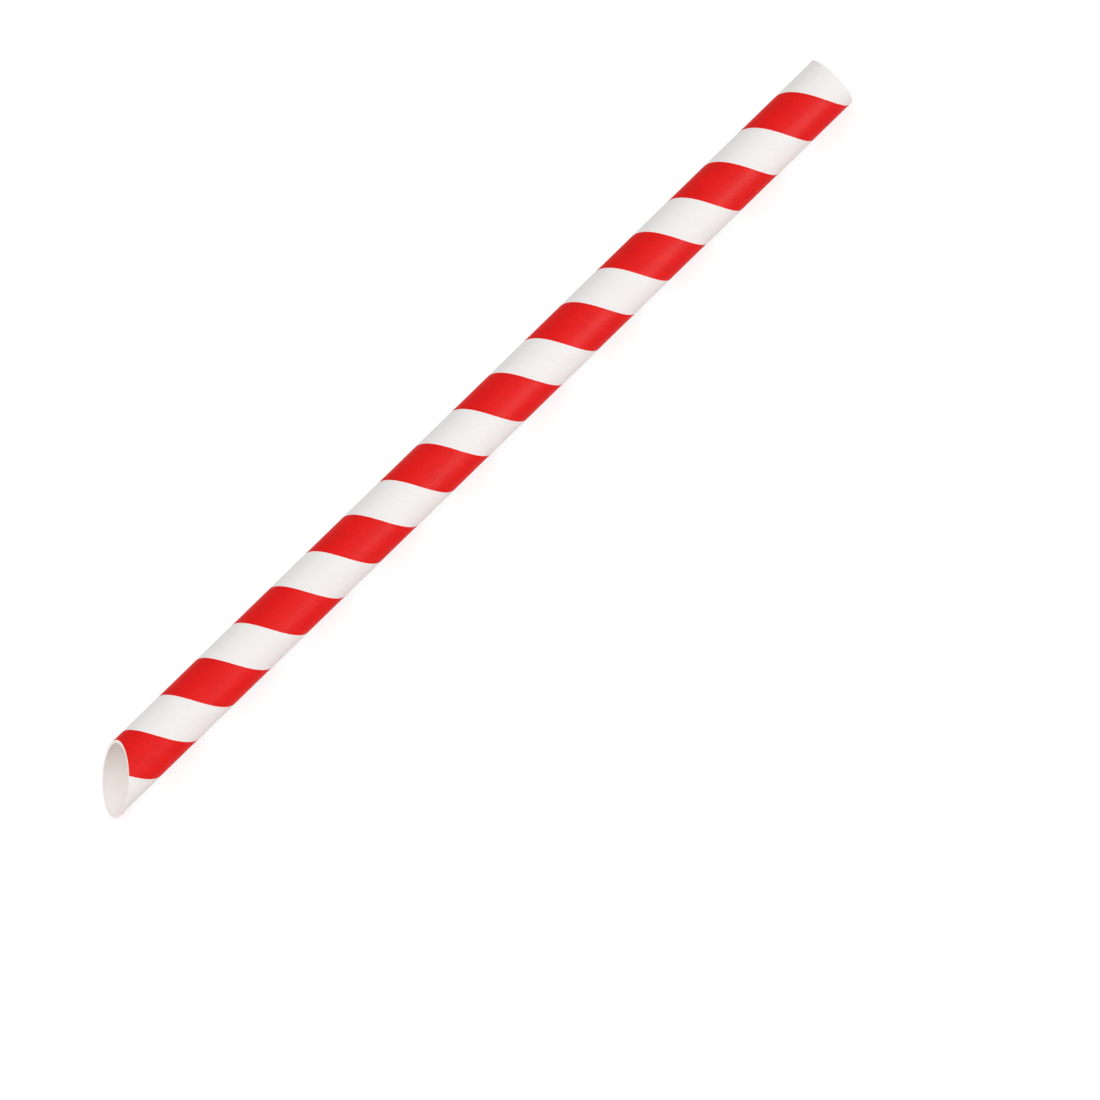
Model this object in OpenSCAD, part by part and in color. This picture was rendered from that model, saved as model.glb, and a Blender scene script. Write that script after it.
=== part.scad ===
// Wide paper drinking straw: strips of paper wound in a spiral and glued into one stiff tube,
// with a red stripe that follows the winding. The straw lies along X on the plane z = 0,
// as it comes to rest: its square end points to +X, its slanted end to -X, and the longer side
// of the slanted end is underneath.

/* [Tube] */
// Outer diameter
outer_d = 12; // [6:0.1:14]
// Thickness of the glued paper wall
wall_t = 0.5; // [0.2:0.05:1]
// Length along the axis, from the point of the slanted end to the square end
straw_l = 214; // [120:1:260]

/* [Slanted end] */
// Angle between the slanted cut and the axis
slant_angle = 43.7; // [30:0.1:75]

/* [Stripe] */
// Length of straw that one turn of the red stripe takes
stripe_pitch = 21; // [12:0.1:40]
// Width of the red stripe, measured along the straw
stripe_w = 10.8; // [4:0.1:11]
// White left along the top of the straw, between the square end and the first red
end_white = 8.8; // [0:0.1:40]
// Depth of the outer paper that is red, so the bore and the cut ends stay white
red_depth = 0.1; // [0.02:0.01:0.15]

/* [Hidden] */
$fn = 64;
outer_r = outer_d / 2;
bore_r = outer_r - wall_t;
// Length of the slanted cut, from the point to the top of the short side
slant_l = outer_d / sin(slant_angle);
// How far cutting shapes run past the ends that they cut, and past the tube's sides
end_clear = 1;
side_clear = 2 * outer_d;
// How far the red laps under the white, so that the two colours make one solid
colour_lap = 0.005;
// Steps in one turn of the stripe's edges, and the widest step of the sector's outline
steps_per_turn = 20;
sector_step = 90;
sector_r = 2 * outer_r;
// Where the red nearest to the square end begins along the top
red_x = straw_l / 2 - end_white - stripe_w;

// A shape that runs along Z, laid along X on the straw's axis from the given x
module along_axis(x) {
    translate([x, 0, outer_r])
        rotate([0, 90, 0])
            children();
}

// Everything beyond the slanted cut, whose plane climbs from the point of the straw, at the
// bottom, to the short side at the top
module beyond_slant() {
    translate([-straw_l / 2, 0, 0])
        rotate([0, -slant_angle, 0])
            translate([-side_clear, -side_clear, 0])
                cube([slant_l + 2 * side_clear, 2 * side_clear, side_clear]);
}

// The whole wall: round, bored through, square at +X and slanted at -X
module wall() {
    raw_l = straw_l + end_clear;
    difference() {
        along_axis(straw_l / 2 - raw_l)
            cylinder(h = raw_l, r = outer_r);
        along_axis(straw_l / 2 - raw_l - end_clear)
            cylinder(h = raw_l + 2 * end_clear, r = bore_r);
        beyond_slant();
    }
}

// A sector that turns once, right-handed, in each pitch. Without a lap, its leading edge
// crosses the top of the straw at red_x. A lap widens it on both sides.
module turning_sector(lap) {
    sector_l = straw_l + 4 * end_clear;
    start_x = -sector_l / 2;
    lead = 360 * (start_x + lap - red_x) / stripe_pitch;
    sweep = 360 * (stripe_w + 2 * lap) / stripe_pitch;
    steps = ceil(sweep / sector_step);
    arc = [for (i = [0 : steps]) sector_r * [cos(i * sweep / steps), -sin(i * sweep / steps)]];
    along_axis(start_x)
        rotate([0, 0, 180 + lead])
            linear_extrude(
                height = sector_l,
                twist = -360 * sector_l / stripe_pitch,
                slices = ceil(steps_per_turn * sector_l / stripe_pitch),
                segments = 1
            )
                polygon(concat([[0, 0]], arc));
}

// The spiral space at the wall's outside that holds the red
module red_space(lap = 0) {
    core_l = straw_l + 6 * end_clear;
    difference() {
        turning_sector(lap);
        along_axis(-core_l / 2)
            cylinder(h = core_l, r = outer_r - red_depth - lap);
    }
}

module paper_tube() {
    color("#f2f0ee")
        difference() {
            wall();
            red_space();
        }
    color("#e0282b")
        intersection() {
            wall();
            red_space(colour_lap);
        }
}

paper_tube();
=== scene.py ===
"""The looks of the paper straw: one wound and printed tube, lying on a white table."""

import math

import bmesh
import bpy
from mathutils import Matrix, Vector, noise


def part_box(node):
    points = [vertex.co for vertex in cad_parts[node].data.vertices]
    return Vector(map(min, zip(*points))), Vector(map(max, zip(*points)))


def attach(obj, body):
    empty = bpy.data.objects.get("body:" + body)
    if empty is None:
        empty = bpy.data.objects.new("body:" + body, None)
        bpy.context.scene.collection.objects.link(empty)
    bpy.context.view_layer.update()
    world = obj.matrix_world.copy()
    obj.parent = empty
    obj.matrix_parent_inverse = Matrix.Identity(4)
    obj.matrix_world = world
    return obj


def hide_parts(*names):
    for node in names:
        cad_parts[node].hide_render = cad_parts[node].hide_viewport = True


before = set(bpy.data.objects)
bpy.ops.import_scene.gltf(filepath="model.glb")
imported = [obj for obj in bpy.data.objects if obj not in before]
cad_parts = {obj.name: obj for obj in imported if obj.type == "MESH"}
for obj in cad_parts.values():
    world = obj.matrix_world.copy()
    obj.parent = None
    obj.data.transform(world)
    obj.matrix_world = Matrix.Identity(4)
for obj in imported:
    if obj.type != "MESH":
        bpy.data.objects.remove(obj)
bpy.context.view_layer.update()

MM = 0.001
TURN = 2 * math.pi

# The tube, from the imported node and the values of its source
LOW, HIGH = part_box("paper_tube")
OUTER_R = (HIGH.z - LOW.z) / 2
AXIS_Z = (HIGH.z + LOW.z) / 2
WALL = 0.5 * MM
BORE_R = OUTER_R - WALL
SLANT = math.radians(43.7)

# The winding. A phase counts turns of the stripe along the straw: 0 where a red stripe begins.
PITCH = 21 * MM
RED_W = 10.8 * MM
END_WHITE = 8.8 * MM
RED_SHARE = RED_W / PITCH
RED_X = HIGH.x - END_WHITE - RED_W
# Length once round the tube, and of a strip's edge in one turn
ROUND = TURN * OUTER_R
EDGE_L = math.hypot(PITCH, ROUND)
# Width of the wound strip, square to its edges
STRIP_W = PITCH * ROUND / EDGE_L

# Phases of the joints between neighbouring turns of a strip: the outer strip's own, the one
# of the strip under it, which shows through, and the innermost strip's, seen in the bore
OUTER_JOINT = 0.795
UNDER_JOINT = 0.18
BORE_JOINT = 0.43

# What stands out or is sunk at each joint, in mm: place across the strip, height, half width
OUTER_RELIEF = ((0, -0.032, 0.05), (0.12, 0.010, 0.08))
UNDER_RELIEF = ((0, -0.012, 0.16), (-0.4, 0.007, 0.2))
BORE_RELIEF = ((0, 0.03, 0.07),)

# How far the wall departs from round, and how quickly: in all round, and per metre along
UNEVEN = 0.010 * MM
UNEVEN_ROUND = 0.8
UNEVEN_ALONG = 90
# The bore's unevenness is taken this far from the outside's
BORE_SHIFT = 7
# The outside is sunk a little on average, and nowhere stands out further than its limit
SUNK = 0.004 * MM
OUTMOST_R = OUTER_R + 0.004 * MM

# Mesh density: columns round the tube, and even rows in one turn
COLUMNS = 120
OUTER_ROWS = 20
BORE_ROWS = 9
# Closer rows at each joint, in mm across the strip from its middle
OUTER_JOINT_ROWS = (-0.3, -0.15, -0.08, -0.035, 0, 0.035, 0.08, 0.15, 0.3)
UNDER_JOINT_ROWS = (-0.7, -0.45, -0.25, -0.1, 0, 0.12, 0.3)
BORE_JOINT_ROWS = (-0.2, -0.08, 0, 0.08, 0.2)
# An even row goes where it is nearer to one of those than this share of the even spacing
TOO_NEAR = 0.3
# Least distance of a row from a rim
ROW_CLEAR = 0.03 * MM

# Rounding of the cut edges, and the plain wall kept beside them
ARRIS = 0.035 * MM
BESIDE_ARRIS = 0.13 * MM
# The line between two plies in a cut edge, in mm: radius from the line's middle, and depth
PLIES = 3
PLY_LINE = ((0.05, 0.0), (0.015, 0.018), (-0.015, 0.018), (-0.05, 0.0))

# Material slots of the straw's mesh
PRINTED, BORE, CUT = range(3)
# The bands of a cut edge, counted from the outside, that still carry the print
PRINTED_BANDS = 2

# Colours, linear
COAT_WHITE = (0.835, 0.816, 0.802)
INK_RED = (0.73, 0.0034, 0.0020)
# The bore's paper: its own warm white, made lighter and pinker with painted light, for the light
# that shines in through the wall and its red print
BORE_WHITE_WITH_PAINTED_GLOW = (0.962, 0.902, 0.864)
CUT_WHITE = (0.87, 0.82, 0.795)

# Paper reflects less straight on than a closed coat does
PAPER_SPECULAR = 0.12
# The values between which most of a noise lies
NOISE_LOW = 0.3
NOISE_HIGH = 0.7
# How much streaks, clouds and blots change the tone of the white and of the red
WHITE_TONES = (0.007, 0.006, 0.006)
RED_TONES = (0.05, 0.035, 0.07)
# Roughness at a noise's low and high values
COAT_ROUGH = (0.64, 0.54)
INK_ROUGH = (0.62, 0.45)
BARE_ROUGH = (0.85, 0.7)
# Heights of the printed paper's fibres, blots and tooth, and of the bare paper's fibres
FIBRE_H = 0.030 * MM
BLOT_H = 0.050 * MM
TOOTH_H = 0.007 * MM
BARE_FIBRE_H = 0.012 * MM
BARE_FIBRE_STRENGTH = 0.8
# How far the ink's edge strays, and half the width over which it fades, in turns
INK_STRAY = 0.0014
INK_FADE = 0.0009

# The table: half its width, the gap under the straw, and its looks. The bounce is the colour of
# the light it throws on the straw, a little warm. The shade and glow are what the viewer sees.
TABLE_HALF = 2.5
TABLE_GAP = 0.02 * MM
TABLE_BOUNCE = (0.82, 0.765, 0.755, 1)
TABLE_SHADE = (0.2, 0.2, 0.2, 1)
TABLE_GLOW = 0.85

# Strength of the light from all round, level and from above, and as the viewer sees it
SKY_LEVEL = 0.55
SKY_ABOVE = 0.94
SKY_SEEN = 0.7

# Soft boxes: name, place, target, size, power in watts, and whether it is for gloss alone
SOFT_BOXES = (
    ("key", (0.15, -0.55, 0.055), (0.10, 0, 0.006), (0.30, 0.09), 0.82, False),
    ("mouth_fill", (-0.62, -0.35, 0.40), (-0.06, 0, 0.006), (0.40, 0.40), 1.15, False),
    ("gleam", (0.15, -0.55, 0.032), (0.10, 0, 0.006), (0.30, 0.055), 3.9, True),
    ("front", (-0.05, -0.62, 0.79), (0.0, 0, 0.006), (1.2, 1.1), 5.4, True),
)

# The camera, fitted to the outline and stripes of the straw in the photo
CAMERA_PLACE = (-0.05246, -0.53288, 0.45777)
CAMERA_FORWARD = (0.069277, 0.733760, -0.675868)
CAMERA_UP = (0.697999, 0.448388, 0.558341)
SENSOR_MM = 36
LENS_MM = 110.642
CLIP_START = 0.01


def relief(across, forms):
    """Height of a joint's ridges and grooves at a place across the strip."""
    height = 0.0
    for centre, form_height, width in forms:
        height += form_height * MM * math.exp(-(((across - centre * MM) / (width * MM)) ** 2))
    return height


def unevenness(x, angle, shift=0):
    """Gentle waves of the wall, inwards and outwards."""
    y = math.cos(angle) * UNEVEN_ROUND
    z = math.sin(angle) * UNEVEN_ROUND
    return UNEVEN * noise.noise(Vector((x * UNEVEN_ALONG + shift, y, z)))


def wrapped(phase):
    """A phase brought between -0.5 and 0.5."""
    return (phase + 0.5) % 1.0 - 0.5


def phase_at(x, angle):
    return (x - RED_X) / PITCH - angle / TURN


def outer_radius(x, angle):
    """The outside's radius: round, a hair uneven, with the joints of the two outer strips."""
    phase = phase_at(x, angle)
    r = OUTER_R - SUNK + unevenness(x, angle)
    r += relief(wrapped(phase - OUTER_JOINT) * STRIP_W, OUTER_RELIEF)
    r += relief(wrapped(phase - UNDER_JOINT) * STRIP_W, UNDER_RELIEF)
    return min(r, OUTMOST_R)


def bore_radius(x, angle):
    """The bore's radius, with the joint of the innermost strip."""
    joint = wrapped(phase_at(x, angle) - BORE_JOINT) * STRIP_W
    return BORE_R + relief(joint, BORE_RELIEF) + unevenness(x, angle, BORE_SHIFT)


def slant_x(radius, angle):
    """Where the slanted cut crosses a line of the tube."""
    return LOW.x + (OUTER_R + radius * math.cos(angle)) / math.tan(SLANT)


def on_tube(x, radius, angle):
    """The point at a place along the axis, at an angle from the top of the straw."""
    return Vector((x, -radius * math.sin(angle), AXIS_Z + radius * math.cos(angle)))


def row_phases(even, joints):
    """Phases of the rows in one turn: evenly spaced, and closer together at each joint."""
    fine = [(joint + place * MM / STRIP_W) % 1.0 for joint, places in joints for place in places]
    near = TOO_NEAR / even
    coarse = [k / even for k in range(even)]
    kept = [p for p in coarse if all(abs(wrapped(p - q)) > near for q in fine)]
    return sorted(kept + fine)


def rim_profile(angle, square):
    """Points over one cut edge, from the outside, over the rim, to the bore.

    Each is (x, radius). The rim has a faint line between every two plies.
    """
    inwards = -1 if square else 1

    def edge_x(radius):
        return HIGH.x if square else slant_x(radius, angle)

    outer = outer_radius(edge_x(OUTER_R), angle)
    bore = bore_radius(edge_x(BORE_R), angle)
    points = [(edge_x(outer) + inwards * BESIDE_ARRIS, outer)]
    points.append((edge_x(outer) + inwards * ARRIS, outer))
    points.append((edge_x(outer - ARRIS / 4) + inwards * ARRIS / 4, outer - ARRIS / 4))
    points.append((edge_x(outer - ARRIS), outer - ARRIS))
    for line in range(1, PLIES):
        middle = OUTER_R - line * WALL / PLIES
        for from_middle, depth in PLY_LINE:
            radius = middle + from_middle * MM
            points.append((edge_x(radius) + inwards * depth * MM, radius))
    points.append((edge_x(bore + ARRIS), bore + ARRIS))
    points.append((edge_x(bore + ARRIS / 4) + inwards * ARRIS / 4, bore + ARRIS / 4))
    points.append((edge_x(bore) + inwards * ARRIS, bore))
    points.append((edge_x(bore) + inwards * BESIDE_ARRIS, bore))
    return points


def straw_mesh():
    """The whole straw as one closed mesh: outside, slanted rim, bore and square rim."""
    verts = []
    faces = []
    slots = []

    def add(x, radius, angle):
        verts.append(on_tube(x, radius, angle))
        return len(verts) - 1

    outer_phases = row_phases(
        OUTER_ROWS, ((OUTER_JOINT, OUTER_JOINT_ROWS), (UNDER_JOINT, UNDER_JOINT_ROWS))
    )
    bore_phases = row_phases(BORE_ROWS, ((BORE_JOINT, BORE_JOINT_ROWS),))
    angles = [TURN * j / COLUMNS for j in range(COLUMNS)]
    slant_rims = []
    square_rims = []
    for angle in angles:
        slant_rims.append([add(x, r, angle) for x, r in rim_profile(angle, False)])
        square_rims.append([add(x, r, angle) for x, r in rim_profile(angle, True)])

    def wall_rows(phases, radius_at, rim_end):
        """For each column, its rows' numbers and vertices between the two rims."""
        turns = math.ceil((HIGH.x - LOW.x) / PITCH) + 2
        rows = []
        for j, angle in enumerate(angles):
            first = verts[slant_rims[j][rim_end]].x + ROW_CLEAR
            last = verts[square_rims[j][rim_end]].x - ROW_CLEAR
            kept = {}
            for turn in range(-turns, turns):
                for k, phase in enumerate(phases):
                    x = RED_X + PITCH * (turn + phase + angle / TURN)
                    if first < x < last:
                        kept[turn * len(phases) + k] = add(x, radius_at(x, angle), angle)
            rows.append(kept)
        return rows

    def fill_wall(phases, radius_at, rim_end, slot):
        """Faces between neighbouring columns, row by row, and fans where they meet the rims."""
        rows = wall_rows(phases, radius_at, rim_end)
        for j in range(COLUMNS):
            nxt = (j + 1) % COLUMNS
            # past the last column, the rows are those of the next turn
            shift = len(phases) if nxt == 0 else 0
            here = rows[j]
            there = {n - shift: v for n, v in rows[nxt].items()}
            shared = sorted(set(here) & set(there))
            for n in shared[:-1]:
                faces.append((here[n], here[n + 1], there[n + 1], there[n]))
                slots.append(slot)
            for rims, edge_row, beyond in (
                (slant_rims, shared[0], lambda n, e: n < e),
                (square_rims, shared[-1], lambda n, e: n > e),
            ):
                a = [v for n, v in sorted(here.items()) if beyond(n, edge_row)]
                b = [v for n, v in sorted(there.items()) if beyond(n, edge_row)]
                if rims is square_rims:
                    a.reverse()
                    b.reverse()
                a = [rims[j][rim_end]] + a + [here[edge_row]]
                b = [rims[nxt][rim_end]] + b + [there[edge_row]]
                # this column is fanned onto the next one's rim, then the next onto this one's row
                for left, right in zip(a, a[1:]):
                    faces.append((left, right, b[0]))
                    slots.append(slot)
                for left, right in zip(b, b[1:]):
                    faces.append((left, right, a[-1]))
                    slots.append(slot)

    fill_wall(outer_phases, outer_radius, 0, PRINTED)
    fill_wall(bore_phases, bore_radius, -1, BORE)
    for rims in (slant_rims, square_rims):
        for j in range(COLUMNS):
            here = rims[j]
            there = rims[(j + 1) % COLUMNS]
            for k in range(len(here) - 1):
                faces.append((here[k], here[k + 1], there[k + 1], there[k]))
                slots.append(PRINTED if k < PRINTED_BANDS else CUT)

    mesh = bpy.data.meshes.new("striped_straw")
    mesh.from_pydata(verts, [], faces)
    mesh.polygons.foreach_set("material_index", slots)
    mesh.polygons.foreach_set("use_smooth", [True] * len(faces))
    mesh.update()
    return mesh


def face_out(mesh):
    """Turns every face of the closed mesh outwards."""
    bm = bmesh.new()
    bm.from_mesh(mesh)
    bmesh.ops.recalc_face_normals(bm, faces=bm.faces)
    if bm.calc_volume(signed=True) < 0:
        bmesh.ops.reverse_faces(bm, faces=bm.faces)
    bm.to_mesh(mesh)
    bm.free()


class Nodes:
    """A short way to write a material's node tree."""

    # The nodes' places on the sheet of the node editor
    NODES_IN_ROW = 14
    SHEET_LEFT = -2600
    SHEET_TOP = 300
    STEP_RIGHT = 180
    STEP_DOWN = 220

    def __init__(self, name):
        self.material = bpy.data.materials.new(name)
        self.material.use_nodes = True
        self.tree = self.material.node_tree
        self.shader = self.tree.nodes["Principled BSDF"]
        self.count = 0

    def put(self, value, socket):
        """Links an output to a socket, or sets the socket's constant."""
        if isinstance(value, bpy.types.NodeSocket):
            self.tree.links.new(value, socket)
        else:
            socket.default_value = value

    def new(self, kind):
        node = self.tree.nodes.new(kind)
        self.count += 1
        row, column = divmod(self.count, self.NODES_IN_ROW)
        left = self.SHEET_LEFT + self.STEP_RIGHT * column
        node.location = (left, self.SHEET_TOP - self.STEP_DOWN * row)
        return node

    def math(self, operation, *values):
        node = self.new("ShaderNodeMath")
        node.operation = operation
        for value, socket in zip(values, node.inputs):
            self.put(value, socket)
        return node.outputs[0]

    def vector(self, x, y, z):
        node = self.new("ShaderNodeCombineXYZ")
        for value, socket in zip((x, y, z), node.inputs):
            self.put(value, socket)
        return node.outputs[0]

    def noise(self, place, scale, detail, roughness=0.5):
        node = self.new("ShaderNodeTexNoise")
        self.put(place, node.inputs["Vector"])
        node.inputs["Scale"].default_value = scale
        node.inputs["Detail"].default_value = detail
        node.inputs["Roughness"].default_value = roughness
        return node.outputs["Fac"]

    def between(self, value, low, high, to_low, to_high, smooth=False):
        """A value's range from low to high, brought to another range and held inside it."""
        node = self.new("ShaderNodeMapRange")
        node.interpolation_type = "SMOOTHSTEP" if smooth else "LINEAR"
        self.put(value, node.inputs["Value"])
        for name, number in (
            ("From Min", low),
            ("From Max", high),
            ("To Min", to_low),
            ("To Max", to_high),
        ):
            node.inputs[name].default_value = number
        return node.outputs["Result"]

    def from_noise(self, value, to_low, to_high):
        return self.between(value, NOISE_LOW, NOISE_HIGH, to_low, to_high)

    def mix(self, factor, first, second):
        node = self.new("ShaderNodeMix")
        node.data_type = "RGBA"
        self.put(factor, node.inputs["Factor"])
        colours = [s for s in node.inputs if s.type == "RGBA"]
        self.put(first, colours[0])
        self.put(second, colours[1])
        return next(s for s in node.outputs if s.type == "RGBA")

    def tinted(self, colour, factor):
        """A colour made darker or lighter by a factor around 1."""
        node = self.new("ShaderNodeVectorMath")
        node.operation = "SCALE"
        self.put(colour, node.inputs[0])
        self.put(factor, node.inputs["Scale"])
        return node.outputs[0]

    def tone(self, changes, depths):
        """A factor around 1, from changes that run from -1 to 1 and the depth of each."""
        total = 1.0
        for change, depth in zip(changes, depths):
            total = self.math("MULTIPLY_ADD", change, depth, total)
        return total

    def bump(self, height, distance, normal=None, strength=1.0):
        """Small relief, on top of the relief of another bump where its normal is given."""
        node = self.new("ShaderNodeBump")
        self.put(height, node.inputs["Height"])
        node.inputs["Distance"].default_value = distance
        node.inputs["Strength"].default_value = strength
        if normal is not None:
            self.put(normal, node.inputs["Normal"])
        return node.outputs["Normal"]


def strip_place(nodes):
    """Where a point lies on the wound outer strip: its phase, and its place along and across it.

    The place along the strip runs on from turn to turn, so the grain meets only at the joint.
    """
    coordinates = nodes.new("ShaderNodeTexCoord").outputs["Object"]
    split = nodes.new("ShaderNodeSeparateXYZ")
    nodes.put(coordinates, split.inputs[0])
    x, y, z = split.outputs
    sideways = nodes.math("MULTIPLY", y, -1.0)
    above_axis = nodes.math("SUBTRACT", z, AXIS_Z)
    angle = nodes.math("ARCTAN2", sideways, above_axis)
    turns = nodes.math("DIVIDE", angle, TURN)
    travel = nodes.math("DIVIDE", nodes.math("SUBTRACT", x, RED_X), PITCH)
    phase = nodes.math("SUBTRACT", travel, turns)
    from_joint = nodes.math("SUBTRACT", phase, OUTER_JOINT)
    whole = nodes.math("FLOOR", from_joint)
    across = nodes.math("MULTIPLY", nodes.math("SUBTRACT", from_joint, whole), STRIP_W)
    run_on = nodes.math("ADD", angle, nodes.math("MULTIPLY", whole, TURN))
    along = nodes.math(
        "ADD",
        nodes.math("MULTIPLY", x, PITCH / EDGE_L),
        nodes.math("MULTIPLY", run_on, OUTER_R * ROUND / EDGE_L),
    )
    return coordinates, phase, along, across


def printed_paper():
    """Smooth coated paper with the red stripe printed on it."""
    nodes = Nodes("printed_paper")
    coordinates, phase, along, across = strip_place(nodes)

    def strip_noise(along_per_mm, across_per_mm, layer, detail, roughness=0.5):
        """A noise with so many cells to a millimetre along and across the strip."""
        place = nodes.vector(
            nodes.math("MULTIPLY", along, along_per_mm / MM),
            nodes.math("MULTIPLY", across, across_per_mm / MM),
            layer,
        )
        return nodes.noise(place, 1.0, detail, roughness)

    grain = strip_noise(0.16, 2.6, 0.0, 4.0, 0.62)
    cloud = strip_noise(0.12, 0.4, 3.0, 2.0)
    mottle = strip_noise(1.6, 3.2, 5.0, 3.0, 0.6)
    tooth = nodes.noise(coordinates, 9 / MM, 3.0, 0.6)
    ragged = nodes.noise(coordinates, 5 / MM, 2.0, 0.6)

    # distance inside the red, in turns, with the ink's edge a little ragged
    middle = nodes.math("SUBTRACT", phase, RED_SHARE / 2 - 0.5)
    off_middle = nodes.math("ABSOLUTE", nodes.math("SUBTRACT", nodes.math("FRACT", middle), 0.5))
    inside = nodes.math("SUBTRACT", RED_SHARE / 2, off_middle)
    edge = nodes.math("ADD", inside, nodes.from_noise(ragged, -INK_STRAY, INK_STRAY))
    ink = nodes.between(edge, -INK_FADE, INK_FADE, 0.0, 1.0, smooth=True)

    changes = [nodes.from_noise(field, -1.0, 1.0) for field in (grain, cloud, mottle)]
    white = nodes.tinted(COAT_WHITE, nodes.tone(changes, WHITE_TONES))
    red = nodes.tinted(INK_RED, nodes.tone(changes, RED_TONES))
    shader = nodes.shader
    nodes.put(nodes.mix(ink, white, red), shader.inputs["Base Color"])
    coat_rough = nodes.from_noise(grain, *COAT_ROUGH)
    ink_rough = nodes.from_noise(mottle, *INK_ROUGH)
    gap = nodes.math("SUBTRACT", ink_rough, coat_rough)
    nodes.put(nodes.math("MULTIPLY_ADD", gap, ink, coat_rough), shader.inputs["Roughness"])
    shader.inputs["Specular IOR Level"].default_value = PAPER_SPECULAR
    fibres = nodes.bump(grain, FIBRE_H)
    blots = nodes.bump(mottle, BLOT_H, fibres)
    nodes.put(nodes.bump(tooth, TOOTH_H, blots), shader.inputs["Normal"])
    return nodes.material


def bare_paper(name, colour):
    """Uncoated paper, in the bore or on the cut edges."""
    nodes = Nodes(name)
    coordinates = nodes.new("ShaderNodeTexCoord").outputs["Object"]
    fibre = nodes.noise(coordinates, 3.5 / MM, 5.0, 0.65)
    cloud = nodes.noise(coordinates, 0.35 / MM, 2.0)
    tone = nodes.math(
        "ADD", nodes.from_noise(fibre, 0.985, 1.01), nodes.from_noise(cloud, -0.01, 0.01)
    )
    shader = nodes.shader
    nodes.put(nodes.tinted(colour, tone), shader.inputs["Base Color"])
    nodes.put(nodes.from_noise(fibre, *BARE_ROUGH), shader.inputs["Roughness"])
    shader.inputs["Specular IOR Level"].default_value = PAPER_SPECULAR
    fibres = nodes.bump(fibre, BARE_FIBRE_H, strength=BARE_FIBRE_STRENGTH)
    nodes.put(fibres, shader.inputs["Normal"])
    return nodes.material


def straw():
    """The straw's one piece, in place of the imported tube."""
    mesh = straw_mesh()
    face_out(mesh)
    piece = bpy.data.objects.new("striped_straw", mesh)
    bpy.context.scene.collection.objects.link(piece)
    # in the order of the slots PRINTED, BORE and CUT
    mesh.materials.append(printed_paper())
    # the bore's colour holds painted light: a lighter, pinker tone for light shining through the
    # wall
    mesh.materials.append(bare_paper("bore_paper", BORE_WHITE_WITH_PAINTED_GLOW))
    mesh.materials.append(bare_paper("cut_paper", CUT_WHITE))
    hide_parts("paper_tube")
    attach(piece, "root")


def seen_ray(tree):
    """1 for rays that show a surface to the viewer: direct, mirrored or through glass. Else 0."""
    path = tree.nodes.new("ShaderNodeLightPath")
    seen = path.outputs["Is Camera Ray"]
    for kind in ("Is Glossy Ray", "Is Transmission Ray"):
        either = tree.nodes.new("ShaderNodeMath")
        either.operation = "MAXIMUM"
        tree.links.new(seen, either.inputs[0])
        tree.links.new(path.outputs[kind], either.inputs[1])
        seen = either.outputs[0]
    return seen


def table_top():
    """A table that looks white and still takes the straw's shadow, and bounces warm white light."""
    mesh = bpy.data.meshes.new("table_top")
    corners = [(-1, -1), (1, -1), (1, 1), (-1, 1)]
    mesh.from_pydata([(TABLE_HALF * x, TABLE_HALF * y, 0) for x, y in corners], [], [(0, 1, 2, 3)])
    floor = bpy.data.objects.new("table_top", mesh)
    floor.location.z = LOW.z - TABLE_GAP
    bpy.context.scene.collection.objects.link(floor)
    material = bpy.data.materials.new("table_white")
    material.use_nodes = True
    tree = material.node_tree
    tree.nodes.remove(tree.nodes["Principled BSDF"])
    bounce = tree.nodes.new("ShaderNodeBsdfDiffuse")
    bounce.inputs["Color"].default_value = TABLE_BOUNCE
    shaded = tree.nodes.new("ShaderNodeBsdfDiffuse")
    shaded.inputs["Color"].default_value = TABLE_SHADE
    glow = tree.nodes.new("ShaderNodeEmission")
    glow.inputs["Strength"].default_value = TABLE_GLOW
    lit = tree.nodes.new("ShaderNodeAddShader")
    tree.links.new(shaded.outputs[0], lit.inputs[0])
    tree.links.new(glow.outputs[0], lit.inputs[1])
    choice = tree.nodes.new("ShaderNodeMixShader")
    tree.links.new(seen_ray(tree), choice.inputs[0])
    tree.links.new(bounce.outputs[0], choice.inputs[1])
    tree.links.new(lit.outputs[0], choice.inputs[2])
    tree.links.new(choice.outputs[0], tree.nodes["Material Output"].inputs["Surface"])
    mesh.materials.append(material)


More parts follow.
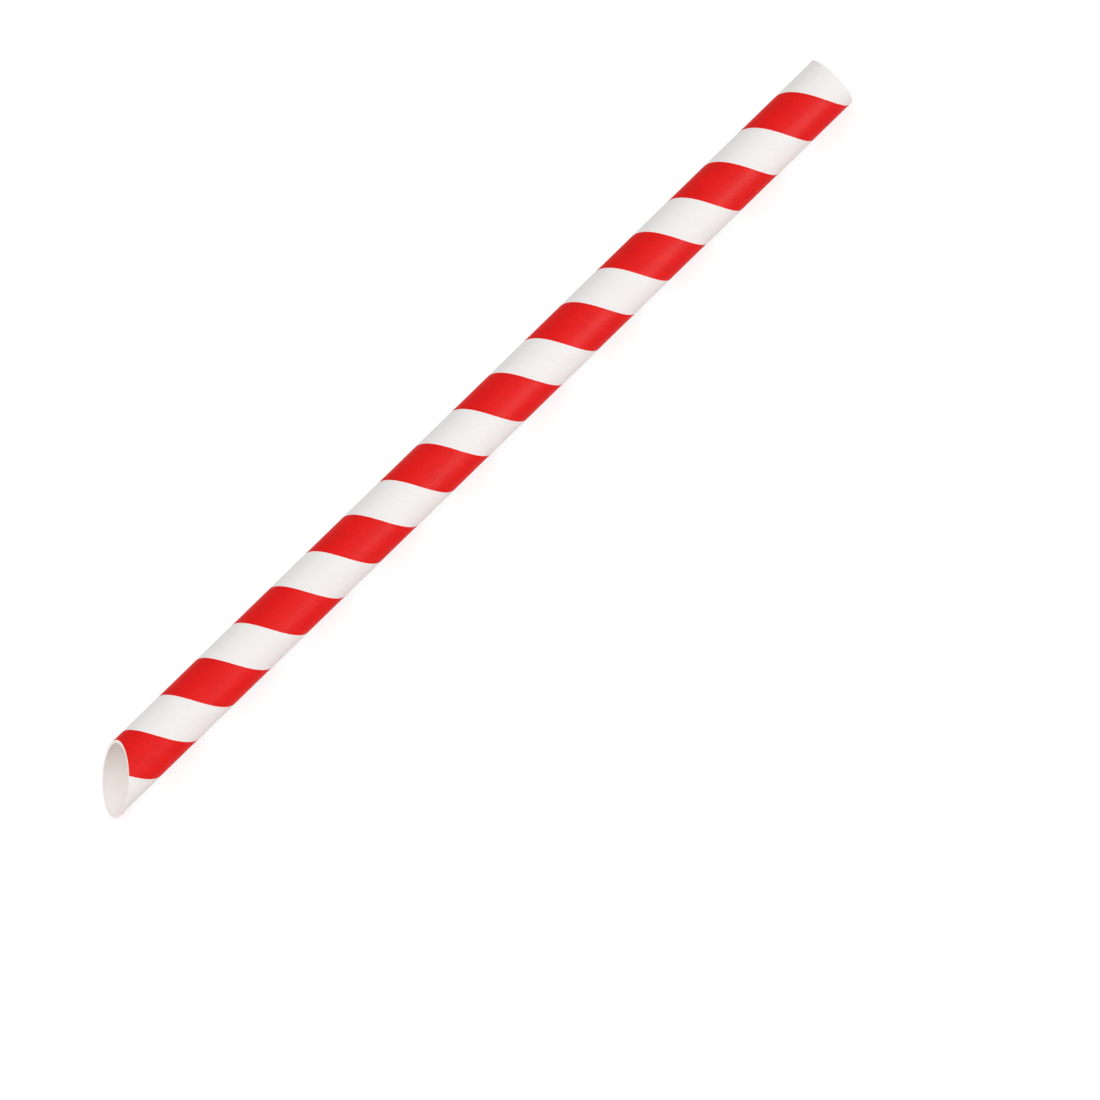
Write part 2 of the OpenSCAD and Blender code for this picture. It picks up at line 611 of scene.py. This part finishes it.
def surroundings():
    """Soft white light from all round, stronger from above, as in a studio tent."""
    world = bpy.data.worlds.new("studio")
    bpy.context.scene.world = world
    world.use_nodes = True
    tree = world.node_tree
    background = tree.nodes["Background"]
    background.inputs["Color"].default_value = (1, 1, 1, 1)
    direction = tree.nodes.new("ShaderNodeTexCoord").outputs["Generated"]
    split = tree.nodes.new("ShaderNodeSeparateXYZ")
    tree.links.new(direction, split.inputs[0])
    lit = tree.nodes.new("ShaderNodeMapRange")
    lit.inputs["To Min"].default_value = SKY_LEVEL
    lit.inputs["To Max"].default_value = SKY_ABOVE
    tree.links.new(split.outputs["Z"], lit.inputs["Value"])
    strength = tree.nodes.new("ShaderNodeMapRange")
    strength.inputs["To Max"].default_value = SKY_SEEN
    tree.links.new(seen_ray(tree), strength.inputs["Value"])
    tree.links.new(lit.outputs["Result"], strength.inputs["To Min"])
    tree.links.new(strength.outputs["Result"], background.inputs["Strength"])


def soft_box(name, place, target, size, power, only_gloss):
    """A rectangular lamp that faces its target, for gloss alone or for all its light."""
    lamp = bpy.data.lights.new(name, "AREA")
    lamp.shape = "RECTANGLE"
    lamp.size, lamp.size_y = size
    lamp.energy = power
    holder = bpy.data.objects.new(name, lamp)
    holder.location = place
    aim = Vector(target) - Vector(place)
    holder.rotation_mode = "QUATERNION"
    holder.rotation_quaternion = aim.to_track_quat("-Z", "Y")
    holder.visible_camera = False
    holder.visible_diffuse = not only_gloss
    bpy.context.scene.collection.objects.link(holder)


def camera():
    """Seen as in the photo: the straw runs from the lower left to the upper right."""
    forward = Vector(CAMERA_FORWARD).normalized()
    right = forward.cross(Vector(CAMERA_UP)).normalized()
    up = right.cross(forward)
    lens = bpy.data.cameras.new("camera")
    lens.sensor_width = SENSOR_MM
    lens.lens = LENS_MM
    lens.clip_start = CLIP_START
    holder = bpy.data.objects.new("camera", lens)
    axes = Matrix((right, up, -forward)).transposed().to_4x4()
    holder.matrix_world = Matrix.Translation(CAMERA_PLACE) @ axes
    bpy.context.scene.collection.objects.link(holder)
    bpy.context.scene.camera = holder


camera()
surroundings()
table_top()
for box in SOFT_BOXES:
    soft_box(*box)
straw()
bpy.context.scene.view_settings.view_transform = "Standard"
